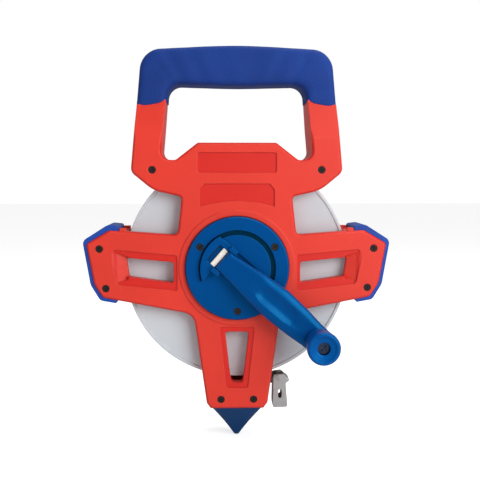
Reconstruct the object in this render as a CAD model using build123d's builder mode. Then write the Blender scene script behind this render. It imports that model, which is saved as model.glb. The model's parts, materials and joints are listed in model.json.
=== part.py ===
"""Open reel long tape measure: frame halves, reel, folding crank, tape and end hook."""
import os
from math import cos, radians, sin

from build123d import *

# Driving dimensions, in mm. Depths are measured from the reel's mid-plane towards the front (-Y).
reel_height = 142.0  # reel axis above the tip of the ground spike
frame_depth = 22.0  # half of the frame's thickness
wall = 2.5  # moulded wall thickness
plate_inside = frame_depth - wall
grip_depth = 17.0  # half thickness of the soft grip
core_depth = 14.0  # half thickness of the frame inside the grip
taper_start = 102.0  # above the reel axis: from here up the legs thin towards the grip
shoulder = 4.0  # solid band under the grip, where the legs step in to the core
grip_cover = 2.5  # thickness of the soft grip over the frame

flange_radius = 90.0
flange_inside = 7.0  # depth of the flange's inner face
flange_thick = 2.5
rim_thick = 3.5
reel_gap_radius = 92.0  # space for the reel inside the frame
reel_gap = 11.5
drum_radius = 39.0
drum_wall = 2.5
winding_radius = 87.0
tape_width = 13.0
tape_thick = 0.4

hub_radius = 41.0  # hub plate seen in the front opening
hub_opening = 41.4
hub_front = 27.0  # depth of the hub plate's face
hub_ledge = 20.0
journal_radius = 37.0
journal_clear = 0.06
ring_outer = 40.0
collar_radius = 43.5
ring_crest = 46.0
hub_screw_circle = 34.0
rear_cap_face = 21.5

screw_shank = 1.4
screw_pilot = 1.45
screw_clear = 1.7
screw_head = 2.8
screw_head_thick = 2.0
frame_screw_places = [(66.8, 77.6), (108.9, 15.3), (104.1, -16.1), (13.1, -106.5)]
boss_radius = 4.2

spike_top = -114.0  # below the reel axis
spike_half = 21.2

crank_angle = radians(-41.5)  # the crank points to the lower right
hinge_at = -11.5  # along the crank, from the reel axis
hinge_depth = 33.0
knuckle_radius = 2.6
knuckle_low = -10.6  # the knuckle's ends, across the crank
knuckle_high = 6.6
ear_gap = 0.4
ear_thick = 3.4
arm_foot = 27.6
pin_radius = 1.4
pin_clear = 0.05
knob_at = 85.0
arm_end_depth = 41.2
knob_length = 26.0
knob_radius = 12.7
axle_radius = 3.0
axle_clear = 0.08

tape_leave = radians(-97)  # where the tape leaves the winding
roller_x = 10.0
roller_radius = 4.0
mouth_left = 24.0
mouth_right = 28.9
hook_pin_x = 33.2
hook_pin_z = -92.4


def across(depth, side=1):
    """Plane at a depth, facing the front (side 1) or the rear (side -1), with its origin on the reel axis."""
    return Plane(origin=(0, -side * depth, reel_height), x_dir=(side, 0, 0), z_dir=(0, -side, 0))


def crank_plane(depth):
    """Plane at a depth with x along the crank."""
    along = (cos(crank_angle), 0, sin(crank_angle))
    return Plane(origin=(0, -depth, reel_height), x_dir=along, z_dir=(0, -1, 0))


def crank_section(offset=0.0):
    """Plane along the crank's length: x along the crank, y towards the front."""
    along = (cos(crank_angle), 0, sin(crank_angle))
    aside = (sin(crank_angle), 0, -cos(crank_angle))
    return Plane(origin=(0, 0, reel_height), x_dir=along, z_dir=aside).offset(offset)


def outline_loop(corners):
    """Closed wire through (x, z, radius) corners of the right half and their mirror images."""
    left = [(-x, z, r) for x, z, r in reversed(corners) if x > 0]
    ring = corners + left
    return FilletPolyline(*[(x, z) for x, z, r in ring], radius=[r for x, z, r in ring], close=True)


def finish(piece, name):
    """Label a piece and write its file."""
    piece.part.label = name
    export_step(piece.part, f"parts/{name}.step")


os.makedirs("parts", exist_ok=True)

# Outline of the frame with its grip, right half, clockwise from the top: x, z and corner radius.
outer_corners = [
    (0, 175.7, 500),
    (74.6, 171.7, 17),
    (83.6, 76.0, 7),
    (66.0, 61.5, 25),
    (43.7, 56.5, 3),
    (47.1, 26.1, 4),
    (100.9, 29.9, 4),
    (119.1, 19.2, 3),
    (113.3, -12.9, 12),
    (106.5, -23.5, 5),
    (34.7, -37.3, 11),
    (24.5, -109.5, 3),
    (spike_half, spike_top, 0),
]
finger_corners = [
    (0, 144.1, 500),
    (54.8, 145.6, 11),
    (60.2, 85.8, 7),
    (48.5, 85.2, 5),
    (30.9, 98.9, 3),
]
# Everything above this line on the hand loop is under the grip.
grip_zone_points = [(-96, 200), (96, 200), (96, 125.6), (56, 132.9), (0, 138), (-56, 132.9), (-96, 125.6)]

with BuildSketch() as full_outline:
    with BuildLine():
        outline_loop(outer_corners)
    make_face()
    with BuildLine():
        outline_loop(finger_corners)
    make_face(mode=Mode.SUBTRACT)

with BuildSketch() as grip_zone:
    with BuildLine():
        Polyline(*grip_zone_points, close=True)
    make_face()

with BuildSketch() as grip_outline:
    add(full_outline.sketch)
    add(grip_zone.sketch, mode=Mode.INTERSECT)

with BuildSketch() as handle_core:
    add(full_outline.sketch)
    offset(amount=-grip_cover)
    add(grip_zone.sketch, mode=Mode.INTERSECT)

with BuildSketch() as core_outline:
    add(full_outline.sketch)
    add(grip_zone.sketch, mode=Mode.SUBTRACT)

with BuildSketch() as cavity_outline:
    add(full_outline.sketch)
    offset(amount=-wall)
    add(Pos(0, -shoulder) * grip_zone.sketch, mode=Mode.SUBTRACT)

with BuildSketch() as core_cavity:
    add(full_outline.sketch)
    offset(amount=-grip_cover - wall)
    add(grip_zone.sketch, mode=Mode.INTERSECT)


def placed(sketch, depth, side=1):
    """A flat outline moved to a depth."""
    return across(depth, side) * sketch.sketch


def leg_taper(depth_low, depth_high):
    """Side profile that thins the legs towards the grip."""
    with BuildSketch(Plane.YZ.offset(-130)) as face:
        with BuildLine():
            heights = [(-130, depth_low), (taper_start, depth_low), (131, depth_high), (190, depth_high)]
            front = [(-d, z + reel_height) for z, d in heights]
            rear = [(d, z + reel_height) for z, d in reversed(heights)]
            Polyline(*front, *rear, close=True)
        make_face()
    extrude(face.sketch, amount=260, mode=Mode.INTERSECT)


def face_rims(solid):
    """Edges round the front and rear faces, without the fold lines between flat and tapered faces."""
    flats = solid.faces().filter_by(lambda f: abs(f.normal_at().Y) > 0.9)
    seen = {}
    for face in flats:
        for edge in face.edges():
            key = tuple(round(value, 2) for value in edge.center())
            seen.setdefault(key, []).append(edge)
    return [edges[0] for edges in seen.values() if len(edges) == 1]


with BuildPart() as envelope:
    extrude(placed(core_outline, 0), amount=frame_depth, both=True)
    leg_taper(frame_depth, grip_depth - 0.6)
    chamfer([e for e in face_rims(envelope) if e.center().Z < reel_height + taper_start - 0.5], length=1.6)
    extrude(placed(handle_core, 0), amount=core_depth, both=True)

with BuildPart() as cavity:
    extrude(placed(cavity_outline, 0), amount=plate_inside, both=True)
    leg_taper(plate_inside, grip_depth - 0.6 - wall)
    extrude(placed(core_cavity, 0), amount=core_depth - wall, both=True)

# Windows, right half: corners x, z.
arm_window = [(50.3, 4.6), (88.2, 8.3), (86.0, -7.1), (50.3, -12.3)]
bezel_corners = [(82, 7.7), (100.3, 13.4), (95.4, -11.8), (82, -7.7)]
bottom_window = [(-9.6, -51.4), (9.6, -51.4), (6.0, -83.5), (4.4, -93.1), (-4.4, -93.1), (-6.0, -83.5)]
bezel_deep = 5.0
window_recess = 1.0
arm_recess = [(47.5, 10.0), (98.0, 14.6), (94.4, -13.2), (47.5, -18.4)]
bottom_recess = [(-14, -47.6), (14, -47.6), (10, -84), (8.6, -97), (-8.6, -97), (-10, -84)]

with BuildPart() as bezel_wedge:
    with BuildSketch(Plane.XY.offset(reel_height - 30)):
        with BuildLine():
            Polyline((86, -frame_depth - 1), (101.9, -frame_depth - 1), (86, -frame_depth + bezel_deep), close=True)
        make_face()
    extrude(amount=60)
    with BuildSketch(across(-1)):
        with BuildLine():
            Polyline(*bezel_corners, close=True)
        make_face()
    extrude(amount=40, mode=Mode.INTERSECT)


def window_face(corners, flip=1):
    """A window outline with small corner radii."""
    with BuildLine() as loop:
        FilletPolyline(*[(flip * x, z) for x, z in corners], radius=2.0, close=True)
    make_face(loop.edges())


def window_rims(side):
    """Walls round the windows, and the blocks that carry the sloped ends of the arm windows."""
    with BuildSketch(across(reel_gap, side)) as face:
        for flip in (1, -1):
            window_face(arm_window, flip)
        window_face(bottom_window)
        offset(amount=2.0)
    extrude(face.sketch, amount=plate_inside + 0.5 - reel_gap)
    with BuildSketch(across(frame_depth - bezel_deep - wall, side)) as face:
        for flip in (1, -1):
            with BuildLine():
                Polyline(*[(flip * x, z) for x, z in bezel_corners], close=True)
            make_face()
        offset(amount=1.5)
    extrude(face.sketch, amount=bezel_deep + wall - 0.5)


def window_cuts(side):
    """Openings through the plate, with a sloped outer end."""
    with BuildSketch(across(reel_gap - 1, side)) as face:
        for flip in (1, -1):
            window_face(arm_window, flip)
        window_face(bottom_window)
    extrude(face.sketch, amount=frame_depth, mode=Mode.SUBTRACT)
    wedge = bezel_wedge.part
    if side < 0:
        wedge = wedge.mirror(Plane.XZ)
    add(wedge, mode=Mode.SUBTRACT)
    add(wedge.mirror(Plane.YZ), mode=Mode.SUBTRACT)


def screw_sites():
    """Places of the frame screws on both sides."""
    return [(flip * x, z) for x, z in frame_screw_places for flip in (1, -1)]


def shell(side):
    """One half of the frame: walls, bosses, hub collar, bearing seat, windows and tape mouth."""
    add(envelope.part)
    add(cavity.part, mode=Mode.SUBTRACT)
    split(bisect_by=Plane.XZ, keep=Keep.TOP if side > 0 else Keep.BOTTOM)
    with BuildSketch(across(0, side)) as face:
        Circle(reel_gap_radius)
    extrude(face.sketch, amount=reel_gap, mode=Mode.SUBTRACT)
    with BuildSketch(across(0, side)) as face:
        with Locations(*screw_sites()):
            Circle(boss_radius)
    extrude(face.sketch, amount=plate_inside + 0.5)
    with BuildSketch(across(reel_gap, side)) as face:
        with Locations((side * roller_x, roller_z)):
            Circle(boss_radius - 1)
        Circle(collar_radius)
    extrude(face.sketch, amount=plate_inside + 0.5 - reel_gap)
    window_rims(side)
    with BuildSketch(across(0, side)) as face:
        Circle(ring_outer)
    extrude(face.sketch, amount=plate_inside, mode=Mode.SUBTRACT)
    with BuildSketch(across(plate_inside, side)) as face:
        Circle(hub_opening)
    extrude(face.sketch, amount=wall * 2, mode=Mode.SUBTRACT)
    with BuildSketch(across(reel_gap - 1, side)) as face:
        with Locations((side * roller_x, roller_z)):
            Circle(pin_radius)
    extrude(face.sketch, amount=plate_inside - reel_gap, mode=Mode.SUBTRACT)
    window_cuts(side)
    with BuildSketch(across(0)) as face:
        add(mouth_face.sketch)
    extrude(face.sketch, amount=side * mouth_half, mode=Mode.SUBTRACT)
    with BuildSketch(across(0, side)) as face:
        with Locations((0, spike_top + wall)):
            Rectangle(11, 3 * wall)
    extrude(face.sketch, amount=tang_half, mode=Mode.SUBTRACT)


# The tape leaves the winding on a tangent and runs down to the mouth.
tape_dir = (-sin(tape_leave), cos(tape_leave))
leave_radius = winding_radius + 0.3 + tape_thick / 2
leave_point = (leave_radius * cos(tape_leave), leave_radius * sin(tape_leave))


def tape_z(x):
    """Height of the tape's centre line at x."""
    return leave_point[1] + (x - leave_point[0]) * tape_dir[1] / tape_dir[0]


roller_z = tape_z(roller_x) - (roller_radius + 0.3 + tape_thick / 2) / tape_dir[0]
mouth_half = 9.5
mouth_top = -87.4
mouth_bottom = -96.4
tang_half = 11.0

with BuildSketch() as mouth_face:
    with Locations(((mouth_left + mouth_right) / 2, (mouth_top + mouth_bottom) / 2)):
        Rectangle(mouth_right - mouth_left, mouth_top - mouth_bottom)

# Front half: label panels, hub crest, clearance holes with counterbores for the screws.
with BuildPart() as front_frame:
    shell(1)
    with BuildSketch(across(frame_depth - window_recess)):
        for flip in (1, -1):
            with BuildLine() as loop:
                points = [(flip * x, z) for x, z in arm_recess]
                FilletPolyline(*points, radius=1.5, close=True)
            make_face(loop.edges())
        with BuildLine() as loop:
            FilletPolyline(*bottom_recess, radius=1.5, close=True)
        make_face(loop.edges())
    extrude(amount=wall, mode=Mode.SUBTRACT)
    with BuildSketch(across(frame_depth - 1.0)):
        with Locations((0, 83.3)):
            RectangleRounded(62.4, 15.9, 2)
        with BuildLine():
            Polyline((-29.6, 48.6), (-29.6, 62), (-26, 66.7), (26, 66.7), (29.6, 62), (29.6, 48.6))
            ThreePointArc((29.6, 48.6), (0, 53.0), (-29.6, 48.6))
        make_face()
    extrude(amount=wall, mode=Mode.SUBTRACT)
    with BuildSketch(across(frame_depth - 0.2)):
        Circle(ring_crest)
        Circle(hub_opening, mode=Mode.SUBTRACT)
    extrude(amount=1.2)
    with BuildSketch(across(0)):
        with Locations(*screw_sites()):
            Circle(screw_clear)
    extrude(amount=frame_depth + 1, mode=Mode.SUBTRACT)
    with BuildSketch(across(plate_inside)):
        with Locations(*screw_sites()):
            Circle(screw_head + 0.2)
    extrude(amount=wall + 1, mode=Mode.SUBTRACT)
    with BuildSketch(across(14)):
        with Locations((90.5, 29.8), (-90.5, 29.8)):
            Rectangle(5, 3.6)
    extrude(amount=6)
finish(front_frame, "front_frame")

# Rear half: the same walls with pilot holes, and a flat back.
with BuildPart() as rear_frame:
    shell(-1)
    with BuildSketch(across(0, -1)):
        with Locations(*screw_sites()):
            Circle(screw_pilot)
    extrude(amount=14, mode=Mode.SUBTRACT)
    with BuildSketch(across(14, -1)):
        with Locations((90.5, 29.8), (-90.5, 29.8)):
            Rectangle(5, 3.6)
    extrude(amount=6)
finish(rear_frame, "rear_frame")

# Soft grip moulded over the hand loop.
with BuildPart() as grip_sleeve:
    extrude(placed(grip_outline, 0), amount=grip_depth, both=True)
    long_edges = face_rims(grip_sleeve)
    chamfer([e for e in long_edges if e.center().Z > reel_height + 133.5], length=3.5)
    extrude(placed(handle_core, 0), amount=core_depth, both=True, mode=Mode.SUBTRACT)
finish(grip_sleeve, "grip_sleeve")


def bumper(flip):
    """Soft band round one arm tip."""
    with BuildSketch(across(0)) as face:
        with BuildLine():
            corners = [(93.6, 28, 0), (93.6, 33.2, 2), (102.5, 34.2, 6), (122.3, 21.6, 5), (116.3, -13.6, 12)]
            corners += [(108.8, -26.0, 5), (95.7, -28.3, 1), (95.7, -20, 0)]
            points = [(flip * x, z) for x, z, r in corners]
            FilletPolyline(*points, radius=[r for x, z, r in corners], close=True)
        make_face()
        add(full_outline.sketch, mode=Mode.SUBTRACT)
    extrude(face.sketch, amount=19.5, both=True)


with BuildPart() as left_bumper:
    bumper(-1)
finish(left_bumper, "left_bumper")

with BuildPart() as right_bumper:
    bumper(1)
finish(right_bumper, "right_bumper")

# Ground spike: a pyramid with a T-shaped tang held between the frame halves.
with BuildPart() as ground_spike:
    with BuildSketch(Plane.XY.offset(reel_height + spike_top)):
        RectangleRounded(2 * spike_half, 40, 3)
    with BuildSketch(Plane.XY):
        RectangleRounded(3.0, 3.0, 1.0)
    loft()
    with BuildSketch(across(0)):
        with Locations((0, spike_top + 2)):
            Rectangle(10.8, 4)
        with Locations((0, spike_top + 7.5)):
            Rectangle(15, 7)
    extrude(amount=tang_half - 0.1, both=True)
finish(ground_spike, "ground_spike")

# Eight frame screws.
with BuildPart() as frame_screws:
    with BuildSketch(across(plate_inside + 0.1)):
        with Locations(*screw_sites()):
            Circle(screw_head)
    extrude(amount=screw_head_thick)
    with BuildSketch(across(-12)):
        with Locations(*screw_sites()):
            Circle(screw_shank)
    extrude(amount=12 + plate_inside + 0.1)
    with BuildSketch(across(plate_inside + screw_head_thick - 0.9)):
        with Locations(*screw_sites()):
            Rectangle(3.4, 0.8)
            Rectangle(0.8, 3.4)
    extrude(amount=2, mode=Mode.SUBTRACT)
finish(frame_screws, "frame_screws")


def bearing_ring(side):
    """Plain bearing pressed into the hub collar."""
    with BuildSketch(across(reel_gap, side)) as face:
        Circle(ring_outer)
        Circle(journal_radius + journal_clear, mode=Mode.SUBTRACT)
    extrude(face.sketch, amount=plate_inside - reel_gap)


with BuildPart() as front_bearing_ring:
    bearing_ring(1)
finish(front_bearing_ring, "front_bearing_ring")

with BuildPart() as rear_bearing_ring:
    bearing_ring(-1)
finish(rear_bearing_ring, "rear_bearing_ring")

# Mouth guide with a slot for the tape, and the roller's pin.
with BuildPart() as mouth_guide:
    extrude(placed(mouth_face, 0), amount=mouth_half, both=True)
    with BuildSketch(across(0)):
        with BuildLine():
            low = [(20, tape_z(20) - 1.0), (32, tape_z(32) - 1.0)]
            high = [(32, tape_z(32) + 1.0), (20, tape_z(20) + 1.0)]
            Polyline(*low, *high, close=True)
        make_face()
    extrude(amount=tape_width / 2 + 0.7, both=True, mode=Mode.SUBTRACT)
finish(mouth_guide, "mouth_guide")

with BuildPart() as roller_pin:
    with BuildSketch(across(0)):
        with Locations((roller_x, roller_z)):
            Circle(pin_radius)
    extrude(amount=17, both=True)
finish(roller_pin, "roller_pin")

with BuildPart() as guide_roller:
    with BuildSketch(across(0)):
        with Locations((roller_x, roller_z)):
            Circle(roller_radius)
            Circle(pin_radius + pin_clear, mode=Mode.SUBTRACT)
    extrude(amount=6.8, both=True)
finish(guide_roller, "guide_roller")

# Straight run of tape from the winding to the mouth.
with BuildPart() as tape_run:
    with BuildSketch(across(0)):
        with BuildLine():
            half = tape_thick / 2
            low = [(leave_point[0], leave_point[1] - half), (mouth_right - 0.4, tape_z(mouth_right) - half)]
            high = [(mouth_right - 0.4, tape_z(mouth_right) + half), (leave_point[0], leave_point[1] + half)]
            Polyline(*low, *high, close=True)
        make_face()
    extrude(amount=tape_width / 2, both=True)
finish(tape_run, "tape_run")

# Strap at the tape's end, looped round the hook's pin.
strap_thick = 0.9
strap_half = 6.3
loop_outer = 2.0
hook_pin_radius = 1.0
with BuildPart() as end_strap:
    with BuildSketch(across(0)):
        with BuildLine():
            strap_start = mouth_right - 0.4
            low = [(strap_start, tape_z(strap_start) - 0.45), (hook_pin_x, hook_pin_z - 0.6)]
            high = [(hook_pin_x, hook_pin_z + 0.6), (strap_start, tape_z(strap_start) + 0.45)]
            Polyline(*low, *high, close=True)
        make_face()
        with Locations((hook_pin_x, hook_pin_z)):
            Circle(loop_outer)
            Circle(hook_pin_radius + 0.08, mode=Mode.SUBTRACT)
    extrude(amount=strap_half, both=True)
finish(end_strap, "end_strap")

# Stamped end hook: two cheeks, a web down the outer side and round the foot, and a claw at the top.
hook_outside = 8.1
hook_sheet = 1.2
hook_corners = [(30.2, -90.4, 1.5), (37.4, -89.6, 2), (43.6, -94.6, 0.6), (40.4, -97.4, 1), (42.0, -117.2, 2)]
hook_corners += [(29.7, -117.4, 1.5)]
with BuildPart() as end_hook:
    with BuildSketch(across(0)):
        with BuildLine():
            points = [(x, z) for x, z, r in hook_corners]
            FilletPolyline(*points, radius=[r for x, z, r in hook_corners], close=True)
        make_face()
    extrude(amount=hook_outside, both=True)
    with BuildSketch(across(0)):
        with BuildLine():
            Polyline((20, -80), (38.2, -80), (39.2, -97.4), (40.6, -114.5), (20, -114.5), close=True)
        make_face()
    extrude(amount=hook_outside - hook_sheet, both=True, mode=Mode.SUBTRACT)
    with BuildSketch(across(0)):
        with Locations((35.6, -106)):
            SlotOverall(7.5, 3.0, rotation=90)
        with Locations((hook_pin_x, hook_pin_z)):
            Circle(hook_pin_radius)
    extrude(amount=hook_outside + 1, both=True, mode=Mode.SUBTRACT)
finish(end_hook, "end_hook")

with BuildPart() as hook_pin:
    with BuildSketch(across(0)):
        with Locations((hook_pin_x, hook_pin_z)):
            Circle(hook_pin_radius)
    extrude(amount=hook_outside, both=True)
    for side in (1, -1):
        with BuildSketch(across(hook_outside, side)):
            with Locations((side * hook_pin_x, hook_pin_z)):
                Circle(1.8)
        extrude(amount=0.7)
finish(hook_pin, "hook_pin")

# Reel: two flanges with thick rims, the drum with its screw bosses, and the wound tape.


def flange(side):
    """Flat flange with a thicker rim."""
    with BuildSketch(across(flange_inside, side)) as face:
        Circle(flange_radius)
        Circle(drum_radius, mode=Mode.SUBTRACT)
    extrude(face.sketch, amount=flange_thick)
    with BuildSketch(across(flange_inside, side)) as face:
        Circle(flange_radius)
        Circle(flange_radius - 2.5, mode=Mode.SUBTRACT)
    extrude(face.sketch, amount=rim_thick)


with BuildPart() as front_flange:
    flange(1)
finish(front_flange, "front_flange")

with BuildPart() as rear_flange:
    flange(-1)
finish(rear_flange, "rear_flange")

drum_half = flange_inside + flange_thick
anchor_place = (drum_radius - 2.6, 0)
with BuildPart() as drum_core:
    with BuildSketch(across(0)):
        Circle(drum_radius)
        Circle(drum_radius - drum_wall, mode=Mode.SUBTRACT)
        with PolarLocations(hub_screw_circle, 3, start_angle=30):
            Circle(boss_radius)
        with PolarLocations(0, 6, start_angle=30):
            with Locations((18, 0)):
                Rectangle(38, 2)
    extrude(amount=drum_half, both=True)
    with BuildSketch(across(0)):
        Circle(drum_radius - 1)
    extrude(amount=1, both=True)
    with BuildSketch(across(-drum_half)):
        with PolarLocations(hub_screw_circle, 3, start_angle=30):
            Circle(screw_pilot)
    extrude(amount=2 * drum_half, mode=Mode.SUBTRACT)
    with BuildSketch(across(0)):
        with Locations(anchor_place):
            Circle(1.6)
    extrude(amount=flange_inside, both=True, mode=Mode.SUBTRACT)
finish(drum_core, "drum_core")

with BuildPart() as tape_anchor:
    with BuildSketch(across(0)):
        with Locations(anchor_place):
            Circle(1.5)
    extrude(amount=tape_width / 2, both=True)
finish(tape_anchor, "tape_anchor")

with BuildPart() as tape_winding:
    with BuildSketch(across(0)):
        Circle(winding_radius)
        Circle(drum_radius, mode=Mode.SUBTRACT)
    extrude(amount=tape_width / 2, both=True)
finish(tape_winding, "tape_winding")

journal_bore = 30.4
recess_radius = 30.4
recess_floor = 24.4
deck_radius = 29.2
deck_top = 31.0
deck_edge = -14.5
deck_high = 9.8
dish_radius = 26.4
dish_top = 26.3
tab_back = -19.0
tab_front = -14.6
tab_low = -10.8
tab_high = 5.4
tab_travel = 2.5
tab_floor = 28.0
tab_top = 31.2


def crank_block(low_u, high_u, low_v, high_v):
    """Rectangle between two places along and two across the crank, in the current sketch."""
    return Pos((low_u + high_u) / 2, (low_v + high_v) / 2) * Rectangle(
        high_u - low_u, high_v - low_v, mode=Mode.PRIVATE)


# Hub plate: disc, journal, recess, raised deck, hinge ears, shallow dish and the lock tab's slot.
with BuildPart() as hub_plate:
    with BuildSketch(across(hub_ledge)):
        Circle(hub_radius)
    extrude(amount=hub_front - hub_ledge)
    chamfer(hub_plate.faces().sort_by(Axis.Y)[0].edges(), length=1.0)
    with BuildSketch(across(drum_half)):
        Circle(journal_radius)
        Circle(journal_bore, mode=Mode.SUBTRACT)
    extrude(amount=hub_ledge - drum_half)
    with BuildSketch(crank_plane(recess_floor)):
        Circle(recess_radius)
        add(crank_block(deck_edge, 40, -40, knuckle_low - 0.6), mode=Mode.SUBTRACT)
    extrude(amount=10, mode=Mode.SUBTRACT)
    with BuildSketch(crank_plane(recess_floor - 0.5)):
        Circle(deck_radius)
        add(crank_block(-40, deck_edge, -40, deck_high), mode=Mode.INTERSECT)
    extrude(amount=deck_top - recess_floor + 0.5)
    with BuildSketch(crank_plane(recess_floor - 0.5)):
        add(crank_block(deck_edge - 1, hinge_at + 3, knuckle_low - ear_gap - ear_thick, knuckle_low - ear_gap))
        add(crank_block(deck_edge - 1, hinge_at + 3, knuckle_high + ear_gap, knuckle_high + ear_gap + ear_thick))
    extrude(amount=hinge_depth + 2.3 - recess_floor + 0.5)
    with BuildSketch(crank_plane(recess_floor - 0.5)):
        Circle(dish_radius)
        add(crank_block(-40, 40, deck_high, 40), mode=Mode.INTERSECT)
    extrude(amount=dish_top - recess_floor + 0.5)
    with BuildSketch(crank_section(-30)):
        with Locations((hinge_at, hinge_depth)):
            Circle(pin_radius)
    extrude(amount=60, mode=Mode.SUBTRACT)
    with BuildSketch(crank_plane(tab_floor)):
        add(crank_block(tab_back - tab_travel - 1.4, deck_edge + 1, tab_low - 0.2, tab_high + 0.2))
    extrude(amount=6, mode=Mode.SUBTRACT)
    with BuildSketch(across(0)):
        with PolarLocations(hub_screw_circle, 3, start_angle=30):
            Circle(screw_clear)
    extrude(amount=hub_front + 1, mode=Mode.SUBTRACT)
    with BuildSketch(across(hub_front - 2.6)):
        with PolarLocations(hub_screw_circle, 3, start_angle=30):
            Circle(screw_head + 0.2)
    extrude(amount=4, mode=Mode.SUBTRACT)
finish(hub_plate, "hub_plate")

with BuildPart() as rear_hub_cap:
    with BuildSketch(across(hub_ledge, -1)):
        Circle(hub_radius)
    extrude(amount=rear_cap_face - hub_ledge)
    with BuildSketch(across(drum_half, -1)):
        Circle(journal_radius)
        Circle(journal_bore, mode=Mode.SUBTRACT)
    extrude(amount=hub_ledge - drum_half)
    with BuildSketch(across(0, -1)):
        with PolarLocations(hub_screw_circle, 3, start_angle=30):
            Circle(screw_clear)
    extrude(amount=hub_front, mode=Mode.SUBTRACT)
    with BuildSketch(across(rear_cap_face - 2.4, -1)):
        with PolarLocations(hub_screw_circle, 3, start_angle=30):
            Circle(screw_head + 0.2)
    extrude(amount=4, mode=Mode.SUBTRACT)
finish(rear_hub_cap, "rear_hub_cap")


def hub_screw_set(head_depth, side, length):
    """Three screws from the hub's face into the drum."""
    sites = PolarLocations(hub_screw_circle, 3, start_angle=30)
    with BuildSketch(across(head_depth, side)) as face:
        with sites:
            Circle(screw_head)
    extrude(face.sketch, amount=screw_head_thick)
    with BuildSketch(across(head_depth - length, side)) as face:
        with sites:
            Circle(screw_shank)
    extrude(face.sketch, amount=length)
    with BuildSketch(across(head_depth + screw_head_thick - 0.9, side)) as face:
        with sites:
            Rectangle(3.4, 0.8)
            Rectangle(0.8, 3.4)
    extrude(face.sketch, amount=2, mode=Mode.SUBTRACT)


with BuildPart() as hub_screws:
    hub_screw_set(hub_front - 2.5, 1, hub_front - 4)
finish(hub_screws, "hub_screws")

with BuildPart() as rear_hub_screws:
    hub_screw_set(rear_cap_face - 2.3, -1, rear_cap_face - 4)
finish(rear_hub_screws, "rear_hub_screws")

# Crank hinge pin, lock tab and its leaf spring.
hinge_length = knuckle_high - knuckle_low + 2 * (ear_gap + ear_thick)
with BuildPart() as hinge_pin:
    with BuildSketch(crank_section(-knuckle_high - ear_gap - ear_thick)):
        with Locations((hinge_at, hinge_depth)):
            Circle(pin_radius)
    extrude(amount=hinge_length)
finish(hinge_pin, "hinge_pin")

with BuildPart() as lock_tab:
    with BuildSketch(crank_plane(tab_floor + 0.2)):
        add(crank_block(tab_back, tab_front, tab_low, tab_high))
    extrude(amount=tab_top - tab_floor - 0.2)
    chamfer(lock_tab.faces().sort_by(Axis.Y)[0].edges(), length=0.4)
finish(lock_tab, "lock_tab")

spring_at = tab_back - tab_travel - 0.75
with BuildPart() as lock_spring:
    with BuildSketch(crank_plane(tab_floor + 0.4)):
        add(crank_block(spring_at - 0.2, spring_at + 0.2, tab_low + 1.5, tab_high - 1.5))
    extrude(amount=1.8)
finish(lock_spring, "lock_spring")

# Crank arm: a waisted plan, a rising side profile, a hollow back and an axle hole.
arm_upper = [(hinge_at, knuckle_high), (hinge_at + 4, knuckle_high), (20, 11.6), (40, 13.8), (62, 12.8), (knob_at - 4, 10.9)]
arm_lower = [(hinge_at, knuckle_low), (hinge_at + 4, knuckle_low), (20, -12.9), (40, -14.0), (62, -12.8), (knob_at - 4, -10.9)]
arm_end_radius = 11.0
arm_top = [(hinge_at + 1, hinge_depth + 2.5), (6, 37.6), (36, 41.0), (66, 41.2), (100, 40.6)]
with BuildPart() as crank_arm:
    with BuildSketch(crank_section(-15)):
        with BuildLine():
            top = Spline(*arm_top)
            Polyline(top @ 1, (100, 31.5), (66, 30.5), (40, 28.2), (hinge_at, arm_foot), top @ 0)
        make_face()
    extrude(amount=30)
    with BuildSketch(crank_plane(20)):
        with BuildLine():
            upper = Spline(*arm_upper)
            lower = Spline(*arm_lower)
            Line(upper @ 0, lower @ 0)
            Line(upper @ 1, lower @ 1)
        make_face()
        with Locations((knob_at, 0)):
            Circle(arm_end_radius)
    extrude(amount=30, mode=Mode.INTERSECT)
    with BuildSketch(crank_section(-knuckle_high)):
        with Locations((hinge_at, hinge_depth)):
            Circle(knuckle_radius)
    extrude(amount=knuckle_high - knuckle_low)
    with BuildSketch(crank_plane(20)):
        with Locations((34, 0)):
            RectangleRounded(60, 16, 6)
    extrude(amount=15.5, mode=Mode.SUBTRACT)
    with BuildSketch(crank_section(-30)):
        with Locations((hinge_at, hinge_depth)):
            Circle(pin_radius + pin_clear)
    extrude(amount=60, mode=Mode.SUBTRACT)
    with BuildSketch(crank_plane(20)):
        with Locations((knob_at, 0)):
            Circle(axle_radius)
    extrude(amount=30, mode=Mode.SUBTRACT)
finish(crank_arm, "crank_arm")

# Knob's axle: a shoulder screw through the arm, with a head in the knob's open end.
knob_foot = arm_end_depth + 0.9
knob_top = knob_foot + knob_length
with BuildPart() as knob_axle:
    with BuildSketch(crank_plane(32.2)):
        with Locations((knob_at, 0)):
            Circle(axle_radius)
    extrude(amount=knob_top - 8 - 32.2)
    with BuildSketch(crank_plane(knob_top - 8)):
        with Locations((knob_at, 0)):
            Circle(4.6)
    extrude(amount=2.6)
    with BuildSketch(crank_plane(knob_top - 6.6)):
        with Locations((knob_at, 0)):
            Rectangle(5.6, 1.0)
            Rectangle(1.0, 5.6)
    extrude(amount=3, mode=Mode.SUBTRACT)
finish(knob_axle, "knob_axle")

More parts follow.
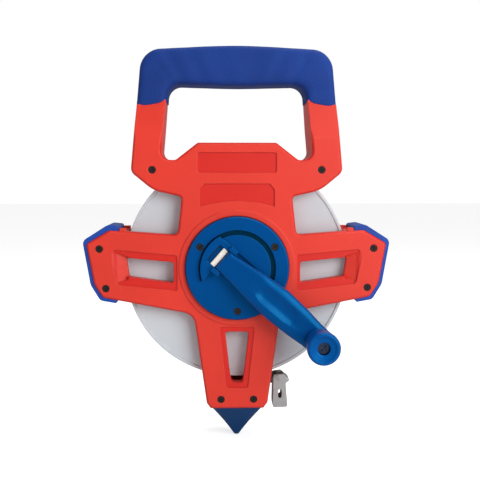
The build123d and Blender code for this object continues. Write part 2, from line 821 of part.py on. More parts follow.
with BuildPart() as crank_knob:
    with BuildSketch(crank_section()):
        with BuildLine():
            rim = knob_at + knob_radius
            foot = Line((knob_at, knob_foot), (rim - 2.3, knob_foot))
            side_line = Spline(foot @ 1, (rim - 1.1, knob_foot + 4), (rim - 1.7, knob_foot + 12),
                               (rim, knob_top - 5), (rim - 0.3, knob_top - 1))
            cap_line = Line(side_line @ 1, (rim - 1.3, knob_top))
            Polyline(cap_line @ 1, (knob_at, knob_top), (knob_at, knob_foot))
        make_face()
    knob_axis = Axis(crank_section().from_local_coords((knob_at, 0, 0)), (0, -1, 0))
    revolve(axis=knob_axis)
    with BuildSketch(crank_plane(knob_foot - 1)):
        with Locations((knob_at, 0)):
            Circle(axle_radius + axle_clear)
    extrude(amount=knob_length + 2, mode=Mode.SUBTRACT)
    with BuildSketch(crank_plane(knob_top - 8.3)):
        with Locations((knob_at, 0)):
            Circle(5.2)
    extrude(amount=10, mode=Mode.SUBTRACT)
finish(crank_knob, "crank_knob")
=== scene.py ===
import json
from math import cos, pi, radians, sin

import bpy
import numpy as np
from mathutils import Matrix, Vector


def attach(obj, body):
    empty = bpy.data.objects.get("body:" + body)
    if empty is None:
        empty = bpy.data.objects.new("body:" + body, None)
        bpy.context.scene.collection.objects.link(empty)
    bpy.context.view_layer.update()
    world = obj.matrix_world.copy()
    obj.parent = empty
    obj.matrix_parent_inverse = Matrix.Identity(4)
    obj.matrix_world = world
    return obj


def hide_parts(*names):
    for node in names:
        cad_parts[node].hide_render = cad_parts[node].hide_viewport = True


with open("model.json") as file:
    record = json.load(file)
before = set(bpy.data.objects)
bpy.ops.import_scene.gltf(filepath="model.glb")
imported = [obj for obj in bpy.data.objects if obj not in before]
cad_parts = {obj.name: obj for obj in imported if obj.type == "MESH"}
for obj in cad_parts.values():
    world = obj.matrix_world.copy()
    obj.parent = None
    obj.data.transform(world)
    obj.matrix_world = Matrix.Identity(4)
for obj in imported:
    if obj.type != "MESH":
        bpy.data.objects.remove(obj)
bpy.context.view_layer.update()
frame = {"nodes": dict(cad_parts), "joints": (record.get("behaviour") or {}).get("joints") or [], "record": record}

joints = {joint["name"]: joint for joint in frame["joints"]}
reelHeight = joints["reel_spin"]["pos_m"][2]
mm = 0.001
print("frame loaded:", len(frame["nodes"]), "nodes")


# shader maths: a wrapped socket, so that masks read as sums and products
class Wire:
    def __init__(self, finish, socket):
        self.finish, self.socket = finish, socket

    def math(self, operation, first, second=0.0):
        return self.finish.node("Math", {"operation": operation}, {0: first, 1: second})

    def __add__(self, other):
        return self.math("ADD", self, other)

    __radd__ = __add__

    def __sub__(self, other):
        return self.math("SUBTRACT", self, other)

    def __rsub__(self, other):
        return self.math("SUBTRACT", other, self)

    def __mul__(self, other):
        return self.math("MULTIPLY", self, other)

    def __pow__(self, other):
        return self.math("POWER", self, other)

    # 0 up to an edge and 1 past it, with a soft step between
    def above(self, edge, soft):
        return self.finish.node("MapRange", {"interpolation_type": "SMOOTHSTEP", "clamp": True},
                                {"Value": self, "From Min": edge, "From Max": edge + soft})


# one material: nodes are made by kind, settings, inputs and the output wanted
class Finish:
    def __init__(self, name):
        self.material = bpy.data.materials.new(name)
        self.material.use_nodes = True
        self.tree = self.material.node_tree
        self.shader = self.tree.nodes["Principled BSDF"]
        self.place = self.node("TexCoord", {}, {}, "Object")

    def node(self, kind, settings, sockets, output=0):
        made = self.tree.nodes.new("ShaderNode" + kind)
        for key, value in settings.items():
            setattr(made, key, value)
        for key, value in sockets.items():
            self.feed(made.inputs[key], value)
        return Wire(self, made.outputs[output])

    def feed(self, socket, value):
        if isinstance(value, Wire):
            self.tree.links.new(value.socket, socket)
        else:
            socket.default_value = value

    def set(self, **values):
        for key, value in values.items():
            self.feed(self.shader.inputs[key.replace("_", " ")], value)

    def noise(self, scale, detail=2.0, roughness=0.5, stretch=None, turn=(0, 0, 0)):
        where = self.place
        if stretch:
            where = self.node("Mapping", {}, {"Vector": self.place, "Scale": stretch, "Rotation": turn})
        return self.node("TexNoise", {}, {"Vector": where, "Scale": scale, "Detail": detail,
                                          "Roughness": roughness})

    def blend(self, factor, first, second):
        colours = {0: factor, 6: first, 7: second}
        return self.node("Mix", {"data_type": "RGBA", "clamp_factor": True}, colours, 2)

    def axes(self):
        split = self.node("SeparateXYZ", {}, {0: self.place}).socket.node
        return [Wire(self, split.outputs[axis]) for axis in "XYZ"]

    def edges(self, radius):
        rounded = self.node("Bevel", {"samples": 6}, {"Radius": radius})
        flat = self.node("NewGeometry", {}, {}, "Normal")
        facing = self.node("VectorMath", {"operation": "DOT_PRODUCT"}, {0: rounded, 1: flat}, "Value")
        return rounded, 1 - facing

    def bump(self, height, strength, distance, normal=None):
        sockets = {"Strength": strength, "Distance": distance, "Height": height}
        if normal is not None:
            sockets["Normal"] = normal
        return self.node("Bump", {}, sockets)


def tint(colour, gain):
    return tuple(min(1.0, channel * gain) for channel in colour[:3]) + (1.0,)


# recess floors painted darker, a painted shade: between two depths, outside a radius from the reel's axis and
# below a height
def recessShadeMask(finish, look):
    side, depth, height = finish.axes()
    radius = (side * side + (height - reelHeight) ** 2) ** 0.5
    between = depth.above(-look["panelFrom"], 0.0002) * (1 - depth.above(-look["panelTo"], 0.0002))
    below = 1 - height.above(look["panelTop"], 0.0005)
    return between * radius.above(look["panelInside"], 0.0003) * below


# moulded plastic: slow mottling, a fine spark-eroded grain, stray scratches, and edges painted paler, which is
# rubbed wear and also a painted highlight along the edges
plastic = {"mottleScale": 14.0, "smudgeScale": 55.0, "patchScale": 22.0, "bumpHeight": 0.0004,
           "scratchDepth": 0.5, "smudgeDepth": 0.25, "scratchDull": 0.12, "rubbedDull": 0.1,
           "scratches": [{"stretch": (900, 900, 26), "turn": (0.3, 0.9, 0.2), "from": 0.69},
                         {"stretch": (38, 800, 1100), "turn": (1.1, 0.2, 0.5), "from": 0.70}]}


def mouldedPlastic(name, look):
    finish = Finish(name)
    colour = look["colour"] + (1.0,)
    rounded, corner = finish.edges(look["edgeRadius"])
    mottle = finish.noise(plastic["mottleScale"], 4.0)
    smudge = finish.noise(plastic["smudgeScale"], 5.0, 0.62)
    grain = finish.noise(look["grainScale"], 2.0, 0.6)
    first, second = [finish.noise(1.0, 3.0, 0.5, line["stretch"], line["turn"]).above(line["from"], 0.03)
                     for line in plastic["scratches"]]
    patches = finish.noise(plastic["patchScale"], 2.0).above(0.5, 0.15)
    scratch = (first + second) * patches
    # edges painted paler: rubbed wear and a painted highlight along the edges
    wearAndHighlightEdges = (corner * look["edgeGain"]).above(0.05, 0.5) * smudge.above(0.38, 0.3)
    shade = finish.blend(mottle.above(0.3, 0.5), tint(colour, look["low"]), tint(colour, look["high"]))
    shade = finish.blend(wearAndHighlightEdges * look["edgeWearAndHighlight"], shade, look["wearAndHighlightTone"] + (1.0,))
    shade = finish.blend(scratch * look["scratchWear"], shade, look["wearAndHighlightTone"] + (1.0,))
    # recess floors take a darker colour: painted shade
    if "recessShadeColour" in look:
        shade = finish.blend(recessShadeMask(finish, look), shade, look["recessShadeColour"] + (1.0,))
    rough = look["rough"] + (smudge - 0.5) * look["roughSpread"]
    rough = rough + scratch * plastic["scratchDull"] + wearAndHighlightEdges * plastic["rubbedDull"]
    relief = grain - scratch * plastic["scratchDepth"] + smudge * plastic["smudgeDepth"]
    finish.set(Base_Color=shade, Roughness=rough, Specular_IOR_Level=look["gloss"],
               Specular_Tint=look.get("sheen", (1, 1, 1)) + (1.0,),
               Normal=finish.bump(relief, look["grainDepth"], plastic["bumpHeight"], rounded))
    return finish.material


# soft rubber: a pebbled grain from small cells, matt, with dusty places and edges painted paler, which is rubbed
# wear and also a painted highlight
rubber = {"mottleScale": 18.0, "smudgeScale": 70.0, "fineScale": 3200.0, "cellSmooth": 0.6,
          "cellDepth": 0.8, "fineDepth": 0.35, "bumpHeight": 0.0005, "wearAndHighlightEdges": 0.35}


def softRubber(name, look):
    finish = Finish(name)
    colour = look["colour"] + (1.0,)
    rounded, corner = finish.edges(look["edgeRadius"])
    cells = finish.node("TexVoronoi", {"feature": "SMOOTH_F1"},
                        {"Vector": finish.place, "Scale": look["cellScale"],
                         "Smoothness": rubber["cellSmooth"]}, "Distance")
    mottle = finish.noise(rubber["mottleScale"], 5.0)
    smudge = finish.noise(rubber["smudgeScale"], 4.0, 0.6)
    fine = finish.noise(rubber["fineScale"], 2.0)
    dust = smudge.above(0.52, 0.2) * mottle.above(0.45, 0.3)
    # edges painted paler: rubbed wear and a painted highlight along the edges
    wearAndHighlightEdges = (corner * 6.0).above(0.08, 0.6) * smudge.above(0.35, 0.3)
    shade = finish.blend(mottle.above(0.3, 0.45), tint(colour, 0.86), tint(colour, 1.14))
    shade = finish.blend(dust * look["dust"], shade, look["wearAndHighlightTone"] + (1.0,))
    shade = finish.blend(wearAndHighlightEdges * rubber["wearAndHighlightEdges"], shade, look["wearAndHighlightTone"] + (1.0,))
    rough = look["rough"] + (smudge - 0.5) * 0.22 + dust * 0.12
    relief = cells * rubber["cellDepth"] + fine * rubber["fineDepth"]
    finish.set(Base_Color=shade, Roughness=rough, Specular_IOR_Level=look["gloss"],
               Normal=finish.bump(relief, look["grainDepth"], rubber["bumpHeight"], rounded))
    return finish.material


# bare or blackened metal: brush lines along one axis, pitting and darker tarnish
metal = {"pitScale": 2400.0, "brushDepth": 0.7, "pitDepth": 0.6, "grainDepth": 0.35,
         "bumpHeight": 0.0002, "brushDull": 0.2, "tarnishDull": 0.15}


def workedMetal(name, look):
    finish = Finish(name)
    colour = look["colour"] + (1.0,)
    rounded, corner = finish.edges(look["edgeRadius"])
    brush = finish.noise(1.0, 4.0, 0.6, look["brush"])
    tarnish = finish.noise(look["tarnishScale"], 5.0, 0.65)
    pits = finish.noise(metal["pitScale"], 3.0, 0.7).above(0.62, 0.1)
    wearAndHighlightEdges = (corner * 6.0).above(0.05, 0.5)
    shade = finish.blend(brush, tint(colour, 0.84), tint(colour, 1.12))
    shade = finish.blend(tarnish.above(0.5, 0.25) * look["tarnish"], shade, look["stain"] + (1.0,))
    shade = finish.blend(wearAndHighlightEdges * look["edgeWearAndHighlight"], shade, look["wearAndHighlightTone"] + (1.0,))
    rough = look["rough"] + (brush - 0.5) * metal["brushDull"]
    relief = brush * metal["brushDepth"] - pits * metal["pitDepth"]
    finish.set(Base_Color=shade, Metallic=look["metallic"],
               Roughness=rough + tarnish.above(0.5, 0.2) * metal["tarnishDull"],
               Normal=finish.bump(relief, metal["grainDepth"], metal["bumpHeight"], rounded))
    return finish.material


# coated tape: the wound turns show as fine rings about the reel's axis, over a faint weave
def coatedTape(name, look):
    finish = Finish(name)
    colour = look["colour"] + (1.0,)
    side, depth, height = finish.axes()
    radius = (side * side + (height - reelHeight) ** 2) ** 0.5
    ringPlace = finish.node("CombineXYZ", {}, {"X": radius * look["turnScale"]})
    turns = finish.node("TexNoise", {}, {"Vector": ringPlace, "Scale": 1.0, "Detail": 3.0})
    weave = finish.noise(1.0, 2.0, 0.5, look["weave"])
    grime = finish.noise(look["grimeScale"], 5.0)
    shade = finish.blend(turns.above(0.35, 0.3), tint(colour, 0.62), tint(colour, 1.06))
    shade = finish.blend(grime.above(0.5, 0.25) * look["grime"], shade, look["stain"] + (1.0,))
    finish.set(Base_Color=shade, Roughness=look["rough"] + (grime - 0.5) * 0.3,
               Normal=finish.bump(turns * 0.8 + weave * 0.4, look["grainDepth"], 0.0003))
    return finish.material


# dark strap: stitched webbing with ribs across it
def wovenStrap(name, look):
    finish = Finish(name)
    colour = look["colour"] + (1.0,)
    ribs = finish.node("TexWave", {"wave_type": "BANDS", "bands_direction": "Y"},
                       {"Vector": finish.place, "Scale": look["ribScale"], "Distortion": 1.5,
                        "Detail": 2.0}, "Fac")
    mottle = finish.noise(120.0, 4.0)
    shade = finish.blend(ribs * 0.6 + mottle * 0.4, tint(colour, 0.6), tint(colour, 1.6))
    finish.set(Base_Color=shade, Roughness=look["rough"] + (mottle - 0.5) * 0.3,
               Normal=finish.bump(ribs + mottle * 0.3, look["grainDepth"], 0.0003))
    return finish.material


# finishes: lengths in metres; the stain colour is for dirty places, and the paler edge colour is for scratches and
# edges, rubbed wear that on edges is also a painted highlight
frameRed = {"colour": (0.70, 0.031, 0.015), "low": 0.94, "high": 1.05, "rough": 0.45, "roughSpread": 0.2,
            "grainScale": 2300.0, "grainDepth": 0.2,
            "edgeRadius": 0.0011, "edgeGain": 5.0, "edgeWearAndHighlight": 0.28,
            "scratchWear": 0.16, "wearAndHighlightTone": (0.92, 0.17, 0.09), "gloss": 0.36,
            # the red's recess floors are painted a darker red: painted shade
            "recessShadeColour": (0.62, 0.010, 0.004), "panelFrom": 0.0214, "panelTo": 0.0205,
            "panelTop": 0.2405, "panelInside": 0.047}
# the blues' pale edge tone paints the light-blue highlight along rims and edges, as well as rubbed wear
knobBlue = {"colour": (0.001, 0.064, 0.28), "low": 0.88, "high": 1.1, "rough": 0.36,
            "roughSpread": 0.18, "grainScale": 2600.0, "grainDepth": 0.12,
            "edgeRadius": 0.0009, "edgeGain": 5.0, "edgeWearAndHighlight": 0.35, "scratchWear": 0.2,
            "wearAndHighlightTone": (0.01, 0.20, 0.52), "gloss": 0.75, "sheen": (0.02, 0.45, 0.85)}
hubBlue = dict(knobBlue, colour=(0.0008, 0.047, 0.215), rough=0.34,
               # the hub's recess round its deck is painted near black: painted shade in the groove
               recessShadeColour=(0.0006, 0.005, 0.02), panelFrom=0.0262, panelTo=0.0236,
               panelTop=0.19, panelInside=0.0264)
spikeBlue = dict(knobBlue, colour=(0.004, 0.028, 0.12), rough=0.42, wearAndHighlightTone=(0.10, 0.18, 0.34),
                 scratchWear=0.4)
reelGrey = {"colour": (0.53, 0.57, 0.605), "low": 0.95, "high": 1.03, "rough": 0.45,
            "roughSpread": 0.2, "grainScale": 1900.0, "grainDepth": 0.12,
            "edgeRadius": 0.0007, "edgeGain": 4.0, "edgeWearAndHighlight": 0.25, "scratchWear": 0.25,
            "wearAndHighlightTone": (0.70, 0.70, 0.71), "gloss": 0.4}
tabWhite = dict(reelGrey, colour=(0.84, 0.78, 0.71), rough=0.38, wearAndHighlightTone=(0.9, 0.88, 0.85))
bearingWhite = dict(tabWhite, colour=(0.70, 0.69, 0.66), rough=0.5)
guideBlack = dict(reelGrey, colour=(0.022, 0.02, 0.02), rough=0.45, wearAndHighlightTone=(0.13, 0.12, 0.12))
gripRubber = {"colour": (0.006, 0.036, 0.215), "rough": 0.66, "edgeRadius": 0.0008, "cellScale": 900.0,
              "grainDepth": 0.3, "dust": 0.14, "wearAndHighlightTone": (0.05, 0.13, 0.36), "gloss": 0.18}
bumperRubber = dict(gripRubber, colour=(0.003, 0.05, 0.33), rough=0.5, dust=0.1, gloss=0.35)
screwBlack = {"colour": (0.022, 0.016, 0.016), "rough": 0.5, "metallic": 0.6,
              "brush": (600, 600, 600), "tarnishScale": 260.0, "tarnish": 0.3,
              "stain": (0.010, 0.008, 0.008), "edgeWearAndHighlight": 0.25, "wearAndHighlightTone": (0.12, 0.1, 0.1),
              "edgeRadius": 0.0003}
pinSteel = dict(screwBlack, colour=(0.035, 0.05, 0.085), metallic=1.0, rough=0.36,
                stain=(0.02, 0.025, 0.035))
hookSteel = dict(pinSteel, colour=(0.46, 0.455, 0.46), rough=0.42, brush=(250, 250, 2200),
                 tarnishScale=150.0, tarnish=0.45, stain=(0.24, 0.22, 0.2),
                 edgeRadius=0.0004, edgeWearAndHighlight=0.4, wearAndHighlightTone=(0.70, 0.69, 0.68))
tapeYellow = {"colour": (0.80, 0.74, 0.50), "rough": 0.48, "stain": (0.35, 0.3, 0.2), "grime": 0.4,
              "grimeScale": 60.0, "turnScale": 1600.0, "weave": (300, 2400, 300), "grainDepth": 0.5}
strapBrown = {"colour": (0.05, 0.03, 0.02), "rough": 0.72, "ribScale": 420.0, "grainDepth": 0.6}

finishes = {
    "frame_red": mouldedPlastic("frameRed", frameRed),
    "grip_blue": softRubber("gripRubber", gripRubber),
    "bumper_blue": softRubber("bumperRubber", bumperRubber),
    "spike_blue": mouldedPlastic("spikeBlue", spikeBlue),
    "screw_black": workedMetal("screwBlack", screwBlack),
    "bearing_white": mouldedPlastic("bearingWhite", bearingWhite),
    "guide_black": mouldedPlastic("guideBlack", guideBlack),
    "pin_steel": workedMetal("pinSteel", pinSteel),
    "tape_yellow": coatedTape("coatedTape", tapeYellow),
    "strap_brown": wovenStrap("wovenStrap", strapBrown),
    "reel_grey": mouldedPlastic("reelGrey", reelGrey),
    "hub_blue": mouldedPlastic("hubBlue", hubBlue),
    "knob_blue": mouldedPlastic("knobBlue", knobBlue),
    "tab_white": mouldedPlastic("tabWhite", tabWhite),
    "hook_steel": workedMetal("hookSteel", hookSteel),
}
slotOf = {entry["node"]: entry["material_slot"] for entry in frame["record"]["subparts"]}
for nodeName, node in frame["nodes"].items():
    node.data.materials.clear()
    node.data.materials.append(finishes[slotOf[nodeName]])
print("finishes made:", len(finishes))


# a grid of points becomes a closed mesh that faces outward: its columns always meet round the
# section, and its rows end on two poles or meet as well
def closedSurface(name, grid, poles=True):
    rows, columns = grid.shape[:2]
    points = grid.reshape(-1, 3)
    r, c = np.meshgrid(np.arange(rows - 1), np.arange(columns), indexing="ij")
    nextC = (c + 1) % columns
    here, below = r * columns, (r + 1) * columns
    faces = np.stack([here + c, here + nextC, below + nextC, below + c], -1).reshape(-1, 4).tolist()
    ring, base = np.arange(columns), (rows - 1) * columns
    nextRing = (ring + 1) % columns
    if poles:
        points = np.vstack([points, grid[0].mean(0), grid[-1].mean(0)])
        first = np.stack([np.full(columns, len(points) - 2), nextRing, ring], -1)
        last = np.stack([np.full(columns, len(points) - 1), base + ring, base + nextRing], -1)
        faces += first.tolist() + last.tolist()
    else:
        faces += np.stack([base + ring, base + nextRing, nextRing, ring], -1).tolist()
    mesh = bpy.data.meshes.new(name)
    mesh.from_pydata(points.tolist(), [], faces)
    mesh.validate()
    flat = np.zeros(len(mesh.vertices) * 3)
    mesh.vertices.foreach_get("co", flat)
    mesh.calc_loop_triangles()
    tris = np.zeros(len(mesh.loop_triangles) * 3, dtype=np.int32)
    mesh.loop_triangles.foreach_get("vertices", tris)
    a, b, d = flat.reshape(-1, 3)[tris.reshape(-1, 3)].transpose(1, 0, 2)
    # the signed volume tells which way the faces point
    if np.einsum("ij,ij->i", a, np.cross(b, d)).sum() < 0:
        mesh.flip_normals()
    mesh.polygons.foreach_set("use_smooth", np.ones(len(mesh.polygons), dtype=bool))
    mesh.update()
    piece = bpy.data.objects.new(name, mesh)
    bpy.context.scene.collection.objects.link(piece)
    return piece


def settle(piece, body, slotName, *replaced):
    piece.data.materials.clear()
    piece.data.materials.append(finishes[slotName])
    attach(piece, body)
    if replaced:
        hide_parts(*replaced)
    print("piece:", piece.name, len(piece.data.polygons), "faces")
    return piece


# millimetres across, up and forward of the reel's middle become metres in the shared frame
def onAxis(x, z, depth):
    return np.stack([x * mm, -depth * mm, z * mm + reelHeight], -1)


# power with the sign kept, for rounded boxes: sign(a) * |a| ** n
def signedPower(a, n):
    return np.sign(a) * np.abs(a) ** n


# t * t * (3 - 2 t), where t goes from 0 at low to 1 at high
def smoothStep(a, low, high):
    t = np.clip((a - low) / (high - low), 0, 1)
    return t * t * (3 - 2 * t)


# 1 at both ends of a path and 0 once a run away from them
def nearEnds(along, run):
    return 2 - smoothStep(along, 0, run) - smoothStep(1 - along, 0, run)


# points along straight runs and arcs: each corner's arc is tangent to its two runs
def roundedPath(corners, radii, perRun, perArc):
    corners = np.array(corners, float)
    path, start = [], corners[0]
    for before, here, after, radius in zip(corners[:-2], corners[1:-1], corners[2:], radii):
        toBefore = (before - here) / np.linalg.norm(before - here)
        toAfter = (after - here) / np.linalg.norm(after - here)
        half = np.arccos(np.clip(toBefore @ toAfter, -1, 1)) / 2
        reach = radius / np.tan(half)
        inTo, outOf = here + toBefore * reach, here + toAfter * reach
        bisect = (toBefore + toAfter) / np.linalg.norm(toBefore + toAfter)
        centre = here + bisect * radius / np.sin(half)
        t = np.linspace(0, 1, perRun, endpoint=False)[:, None]
        path.append(start + (inTo - start) * t)
        a0 = np.arctan2(*(inTo - centre)[::-1])
        turn = (np.arctan2(*(outOf - centre)[::-1]) - a0 + pi) % (2 * pi) - pi
        angle = a0 + turn * np.linspace(0, 1, perArc, endpoint=False)
        path.append(centre + radius * np.stack([np.cos(angle), np.sin(angle)], -1))
        start = outOf
    t = np.linspace(0, 1, perRun)[:, None]
    path.append(start + (corners[-1] - start) * t)
    return np.vstack(path)


# grip: a rounded box section carried round the hand loop, between an outer and an inner line;
# finger swells thin it as a squared sine, and both ends have a slight wave and a small lip
grip = {"outer": [(79.5, 127.4), (75.4, 172.3), (0, 176.4), (-75.4, 172.3), (-79.5, 127.4)],
        "inner": [(54.9, 131.6), (54.0, 145.0), (0, 143.5), (-54.0, 145.0), (-54.9, 131.6)],
        "outerRadii": (17.5, 500, 17.5), "innerRadii": (10.5, 500, 10.5), "depth": 17.4,
        "square": 0.36, "swell": 0.5, "swells": 6, "swellFade": (0.2, 0.3), "ripple": 0.5,
        "rippleRun": 0.04, "lip": 0.03, "lipRun": 0.004, "perRun": 26, "perArc": 22, "steps": 72}


def makeGrip():
    outer = roundedPath(grip["outer"], grip["outerRadii"], grip["perRun"], grip["perArc"])
    inner = roundedPath(grip["inner"], grip["innerRadii"], grip["perRun"], grip["perArc"])
    along = np.linspace(0, 1, len(outer))
    around = np.linspace(0, 2 * pi, grip["steps"], endpoint=False)
    across = signedPower(np.cos(around), grip["square"])
    deep = signedPower(np.sin(around), grip["square"])
    middle = (outer + inner)[:, None, :] / 2
    reach = (outer - inner)[:, None, :] / 2
    fade = smoothStep(along, *grip["swellFade"]) * smoothStep(1 - along, *grip["swellFade"])
    finger = grip["swell"] * np.sin(along * 2 * pi * grip["swells"]) ** 2 * fade
    place = middle + reach * across[None, :, None]
    depth = (grip["depth"] - finger[:, None]) * deep[None, :]
    wave = grip["ripple"] * (np.sin(3 * around + 0.6) + 0.6 * np.sin(7 * around))
    place[..., 1] += nearEnds(along, grip["rippleRun"])[:, None] * wave[None, :]
    lip = 1 - grip["lip"] * nearEnds(along, grip["lipRun"])
    place = middle + (place - middle) * lip[:, None, None]
    grid = onAxis(place[..., 0], place[..., 1], depth * lip[:, None])
    return settle(closedSurface("grip_cover", grid), "frame", "grip_blue", "grip_sleeve")


makeGrip()

# crank: sections across its length, rounded boxes whose width, foot and crown follow the arm
crankAngle = radians(-41.5)
hingeAt, hingeDepth, knobAt = -11.5, 33.0, 85.0
arm = {"stations": (-14.1, -11.5, -7.5, 6, 20, 40, 62, 78, 85, 96),
       "half": (8.6, 8.6, 8.6, 10.2, 12.2, 13.9, 12.8, 11.1, 11, 11),
       "middle": (-2.0, -2.0, -2.0, -1.3, -0.7, -0.1, 0, 0, 0, 0),
       "crown": (35.6, 35.6, 36.0, 37.7, 39.6, 41.3, 41.5, 41.2, 41.1, 41.1),
       "foot": (27.7, 27.7, 27.7, 27.8, 27.9, 28.2, 30.2, 30.8, 31.0, 31.3),
       "knuckle": 2.6, "endRadius": 11.0, "square": 0.36, "smoothing": 51, "rows": 190, "steps": 120,
       "scoopHalf": 6.4, "scoopDepth": 2.6, "scoopFrom": 14.0, "scoopRise": 16.0, "scoopTo": 72.0,
       "scoopFade": 20.0, "scoopPower": 0.8, "edgeFall": 0.9, "edgeFrom": 0.55}


# along and across the crank, turned by its angle, become places in the shared frame
def alongCrank(s, v, depth):
    x = s * cos(crankAngle) - v * sin(crankAngle)
    z = s * sin(crankAngle) + v * cos(crankAngle)
    return onAxis(x, z, depth)


# width, foot and crown are straight lines between the stations, smoothed by a raised cosine; the
# tip's width and the knuckle's depth close on circles, and the front has a scoop and falling edges
def makeArm():
    t = np.linspace(0, 1, arm["rows"])
    start, end = hingeAt - arm["knuckle"], knobAt + arm["endRadius"]
    s = start + (end - start) * (0.5 - 0.5 * np.cos(pi * t))
    fine = np.linspace(arm["stations"][0], arm["stations"][-1], 400)
    kernel = np.hanning(arm["smoothing"]) / np.hanning(arm["smoothing"]).sum()

    def smooth(values):
        raw = np.interp(fine, arm["stations"], values)
        padded = np.pad(raw, arm["smoothing"] // 2, mode="edge")
        return np.interp(s, fine, np.convolve(padded, kernel, mode="valid"))

    half, crown, foot, middle = (smooth(arm[key]) for key in ("half", "crown", "foot", "middle"))
    tipRound = np.sqrt(np.clip(1 - ((s - knobAt) / arm["endRadius"]).clip(0, 1) ** 2, 0, 1))
    half = np.where(s > knobAt, arm["endRadius"] * tipRound, half)
    back = np.sqrt(np.clip(arm["knuckle"] ** 2 - np.minimum(s - hingeAt, 0) ** 2, 0, None))
    crown = np.where(s < hingeAt, hingeDepth + back, np.maximum(crown, hingeDepth + arm["knuckle"]))
    step = smoothStep(s, hingeAt, hingeAt + 1.2)
    foot = (hingeDepth - arm["knuckle"]) * (1 - step) + foot * step
    foot = np.where(s < hingeAt, hingeDepth - back, foot)
    around = np.linspace(0, 2 * pi, arm["steps"], endpoint=False)
    aside = half[:, None] * signedPower(np.cos(around), arm["square"])[None, :]
    lift = signedPower(np.sin(around), arm["square"])[None, :]
    depth = (crown + foot)[:, None] / 2 + (crown - foot)[:, None] / 2 * lift
    front = np.clip(lift, 0, 1)
    rise = smoothStep(s, arm["scoopFrom"], arm["scoopFrom"] + arm["scoopRise"])
    run = rise * (1 - smoothStep(s, arm["scoopTo"] - arm["scoopFade"], arm["scoopTo"]))
    scoopWidth = arm["scoopHalf"] * (0.15 + 0.85 * run[:, None])
    dish = np.clip(1 - (aside / scoopWidth) ** 2, 0, 1) ** arm["scoopPower"]
    depth -= arm["scoopDepth"] * np.sqrt(run)[:, None] * dish * front
    width = np.maximum(half[:, None], 0.5)  # the tip's last section has no width to divide by
    fall = smoothStep(np.abs(aside), arm["edgeFrom"] * width, width)
    depth -= arm["edgeFall"] * fall * front * rise[:, None]
    grid = alongCrank(s[:, None] + 0 * aside, aside + middle[:, None], depth)
    return settle(closedSurface("crank_handle_arm", grid), "crank", "hub_blue", "crank_arm")


makeArm()


# turned pieces: a closed (radius, depth) profile swept round an axis that faces the front
def turned(name, profile, centre, steps):
    profile = np.array(profile, float)
    angle = np.linspace(0, 2 * pi, steps, endpoint=False)
    x = centre[0] + profile[:, 0, None] * np.cos(angle)
    z = centre[1] + profile[:, 0, None] * np.sin(angle)
    grid = onAxis(x, z, profile[:, 1, None] + 0 * x)
    return closedSurface(name, grid, poles=False)


# points of a profile with its corners rounded: each corner is cut back and bridged by a parabola
def softProfile(corners, cut, steps=4):
    corners = np.array(corners, float)
    before, after = np.roll(corners, 1, 0), np.roll(corners, -1, 0)
    toBefore, toAfter = before - corners, after - corners
    lengthB, lengthA = np.linalg.norm(toBefore, axis=1), np.linalg.norm(toAfter, axis=1)
    reach = np.minimum(cut, np.minimum(lengthB, lengthA) * 0.45)
    start = corners + toBefore * (reach / lengthB)[:, None]
    end = corners + toAfter * (reach / lengthA)[:, None]
    t = np.linspace(0, 1, steps)[None, :, None]
    curve = start[:, None] * (1 - t) ** 2 + 2 * corners[:, None] * t * (1 - t) + end[:, None] * t ** 2
    return curve.reshape(-1, 2)


# knob: a waist with a bead near its foot and a flare, then a dished crown and the screw's well;
# crown and well are (radius, depth below the top)
knob = {"foot": 42.1, "length": 26.0, "bore": 3.08, "footRadius": 10.2, "waist": 11.0, "bead": 0.5,
        "flare": 1.7, "crown": [(12.0, 0.7), (10.6, 0), (9.4, 0.5), (8.6, 1.5), (6.3, 1.9)],
        "well": [(4.5, 2.6), (5.2, 4.2), (5.2, 8.3), (3.08, 8.3)], "softening": 0.7, "steps": 112}


def makeKnob():
    foot, top = knob["foot"], knob["foot"] + knob["length"]
    t = np.linspace(0, 1, 26)
    bead = knob["bead"] * np.exp(-((t - 0.1) / 0.12) ** 2)
    waist = knob["waist"] + bead + knob["flare"] * smoothStep(t, 0.35, 0.9)
    side = np.stack([waist, foot + 1.2 + (knob["length"] - 3.4) * t], -1)
    lower = [(knob["bore"], foot), (knob["footRadius"], foot)]
    upper = [(radius, top - below) for radius, below in knob["crown"] + knob["well"]]
    profile = softProfile(np.vstack([lower, side, upper]), knob["softening"])
    centre = (knobAt * cos(crankAngle), knobAt * sin(crankAngle))
    piece = turned("crank_knob_turned", profile, centre, knob["steps"])
    return settle(piece, "knob", "knob_blue", "crank_knob")


makeKnob()

# flange: a flat ring with a thicker rim on its outer face; facing is 1 in front and -1 behind
flange = {"bore": 39.0, "rim": 90.0, "rimFrom": 87.7, "rimFoot": 87.3, "inside": 7.0,
          "outside": 9.5, "rimOutside": 10.5, "softening": 0.5, "steps": 256}


def makeFlange(name, node, facing):
    inside, outside, rimOutside = flange["inside"], flange["outside"], flange["rimOutside"]
    corners = [(flange["bore"], inside), (flange["rim"], inside), (flange["rim"], rimOutside),
               (flange["rimFrom"], rimOutside), (flange["rimFoot"], outside), (flange["bore"], outside)]
    profile = softProfile(corners, flange["softening"])
    profile[:, 1] *= facing
    return settle(turned(name, profile, (0, 0), flange["steps"]), "reel", "reel_grey", node)


makeFlange("front_flange_disc", "front_flange", 1)
makeFlange("rear_flange_disc", "rear_flange", -1)

# spike: rounded square sections that shrink to the tip, hollowed by half a sine; the last part of
# its height closes on a circle
spike = {"top": 28.0, "halfWide": 21.2, "halfDeep": 20.0, "tip": 1.4, "square": 0.22,
         "hollow": 0.035, "tipFrom": 0.965, "rows": 60, "steps": 96}


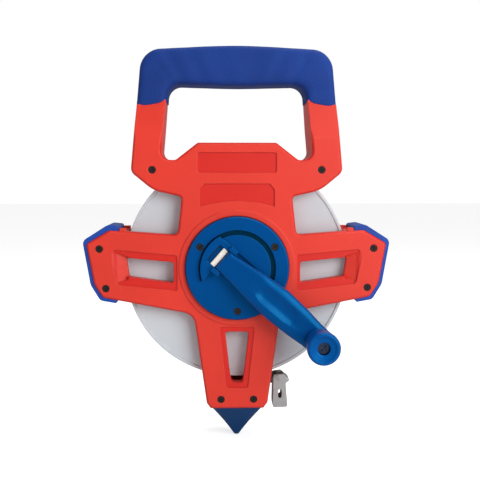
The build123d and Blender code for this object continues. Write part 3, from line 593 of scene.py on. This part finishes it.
def makeSpike():
    t = np.linspace(0, 1, spike["rows"])[:, None]
    around = np.linspace(0, 2 * pi, spike["steps"], endpoint=False)[None, :]
    shrink = 1 - t
    ease = shrink - spike["hollow"] * np.sin(pi * t)
    wide = spike["tip"] + (spike["halfWide"] - spike["tip"]) * ease
    deep = spike["tip"] + (spike["halfDeep"] - spike["tip"]) * ease
    past = ((t - spike["tipFrom"]) / (1 - spike["tipFrom"])).clip(0, 1)
    tipRound = np.sqrt(1 - past ** 2)
    x = wide * signedPower(np.cos(around), spike["square"]) * tipRound
    y = deep * signedPower(np.sin(around), spike["square"]) * tipRound
    z = spike["top"] * shrink + 0 * x
    grid = np.stack([x * mm, y * mm, z * mm], -1)
    return settle(closedSurface("ground_spike_point", grid), "frame", "spike_blue", "ground_spike")


makeSpike()
print("new pieces made")

# camera: its distance from the target, its turn to the left and its rise in degrees
view = {"target": (0.003, 0.0, 0.1625), "distance": 0.64, "turn": 2.0, "rise": 4.5, "lens": 58.5}
turn, rise = radians(-view["turn"]), radians(view["rise"])
back = Vector((sin(turn) * cos(rise), -cos(turn) * cos(rise), sin(rise)))
camera = bpy.data.objects.new("camera", bpy.data.cameras.new("camera"))
camera.location = Vector(view["target"]) + back * view["distance"]
camera.rotation_euler = back.to_track_quat("Z", "Y").to_euler()
camera.data.lens = view["lens"]
bpy.context.scene.collection.objects.link(camera)
bpy.context.scene.camera = camera

# three round soft lights, all turned to the object's middle
lightTarget = (0, 0, 0.15)
lights = {"keyLight": {"place": (0.75, -0.95, 0.55), "size": 0.9, "power": 12},
          "fillLight": {"place": (-1.0, -1.1, 0.4), "size": 1.0, "power": 2.5},
          "topLight": {"place": (0.25, 0.1, 1.3), "size": 0.9, "power": 7}}
for name, light in lights.items():
    lamp = bpy.data.objects.new(name, bpy.data.lights.new(name, "AREA"))
    lamp.data.shape, lamp.data.size, lamp.data.energy = "DISK", light["size"], light["power"]
    lamp.location = light["place"]
    aim = Vector(light["place"]) - Vector(lightTarget)
    lamp.rotation_euler = aim.to_track_quat("Z", "Y").to_euler()
    bpy.context.scene.collection.objects.link(lamp)

# the room is white to the camera and dimmer as a light, and the floor glows to the camera alone
room = {"seen": 1.0, "light": 0.42, "floor": 0.72, "floorRough": 0.8, "floorGlow": 0.62, "reach": 6.0}
world = bpy.data.worlds.new("paleRoom")
world.use_nodes = True
nodes, links = world.node_tree.nodes, world.node_tree.links
nodes["Background"].inputs["Color"].default_value = (1, 1, 1, 1)
ray = nodes.new("ShaderNodeLightPath")
brightness = nodes.new("ShaderNodeMix")
brightness.inputs[2].default_value = room["light"]
brightness.inputs[3].default_value = room["seen"]
links.new(ray.outputs["Is Camera Ray"], brightness.inputs[0])
links.new(brightness.outputs[0], nodes["Background"].inputs["Strength"])
bpy.context.scene.world = world
floorMesh = bpy.data.meshes.new("floor")
floorCorners = np.array([(-1, -1, 0), (1, -1, 0), (1, 1, 0), (-1, 1, 0)]) * room["reach"]
floorMesh.from_pydata(floorCorners.tolist(), [], [(0, 1, 2, 3)])
floorPiece = bpy.data.objects.new("floor", floorMesh)
floorFinish = Finish("paleFloor")
seen = floorFinish.node("LightPath", {}, {}, "Is Camera Ray")
glow = floorFinish.blend(seen, (0, 0, 0, 1), (1, 1, 1, 1))
floorFinish.set(Base_Color=(room["floor"],) * 3 + (1.0,), Roughness=room["floorRough"],
                Emission_Color=glow, Emission_Strength=room["floorGlow"])
floorMesh.materials.append(floorFinish.material)
bpy.context.scene.collection.objects.link(floorPiece)
bpy.context.scene.view_settings.view_transform = "Standard"
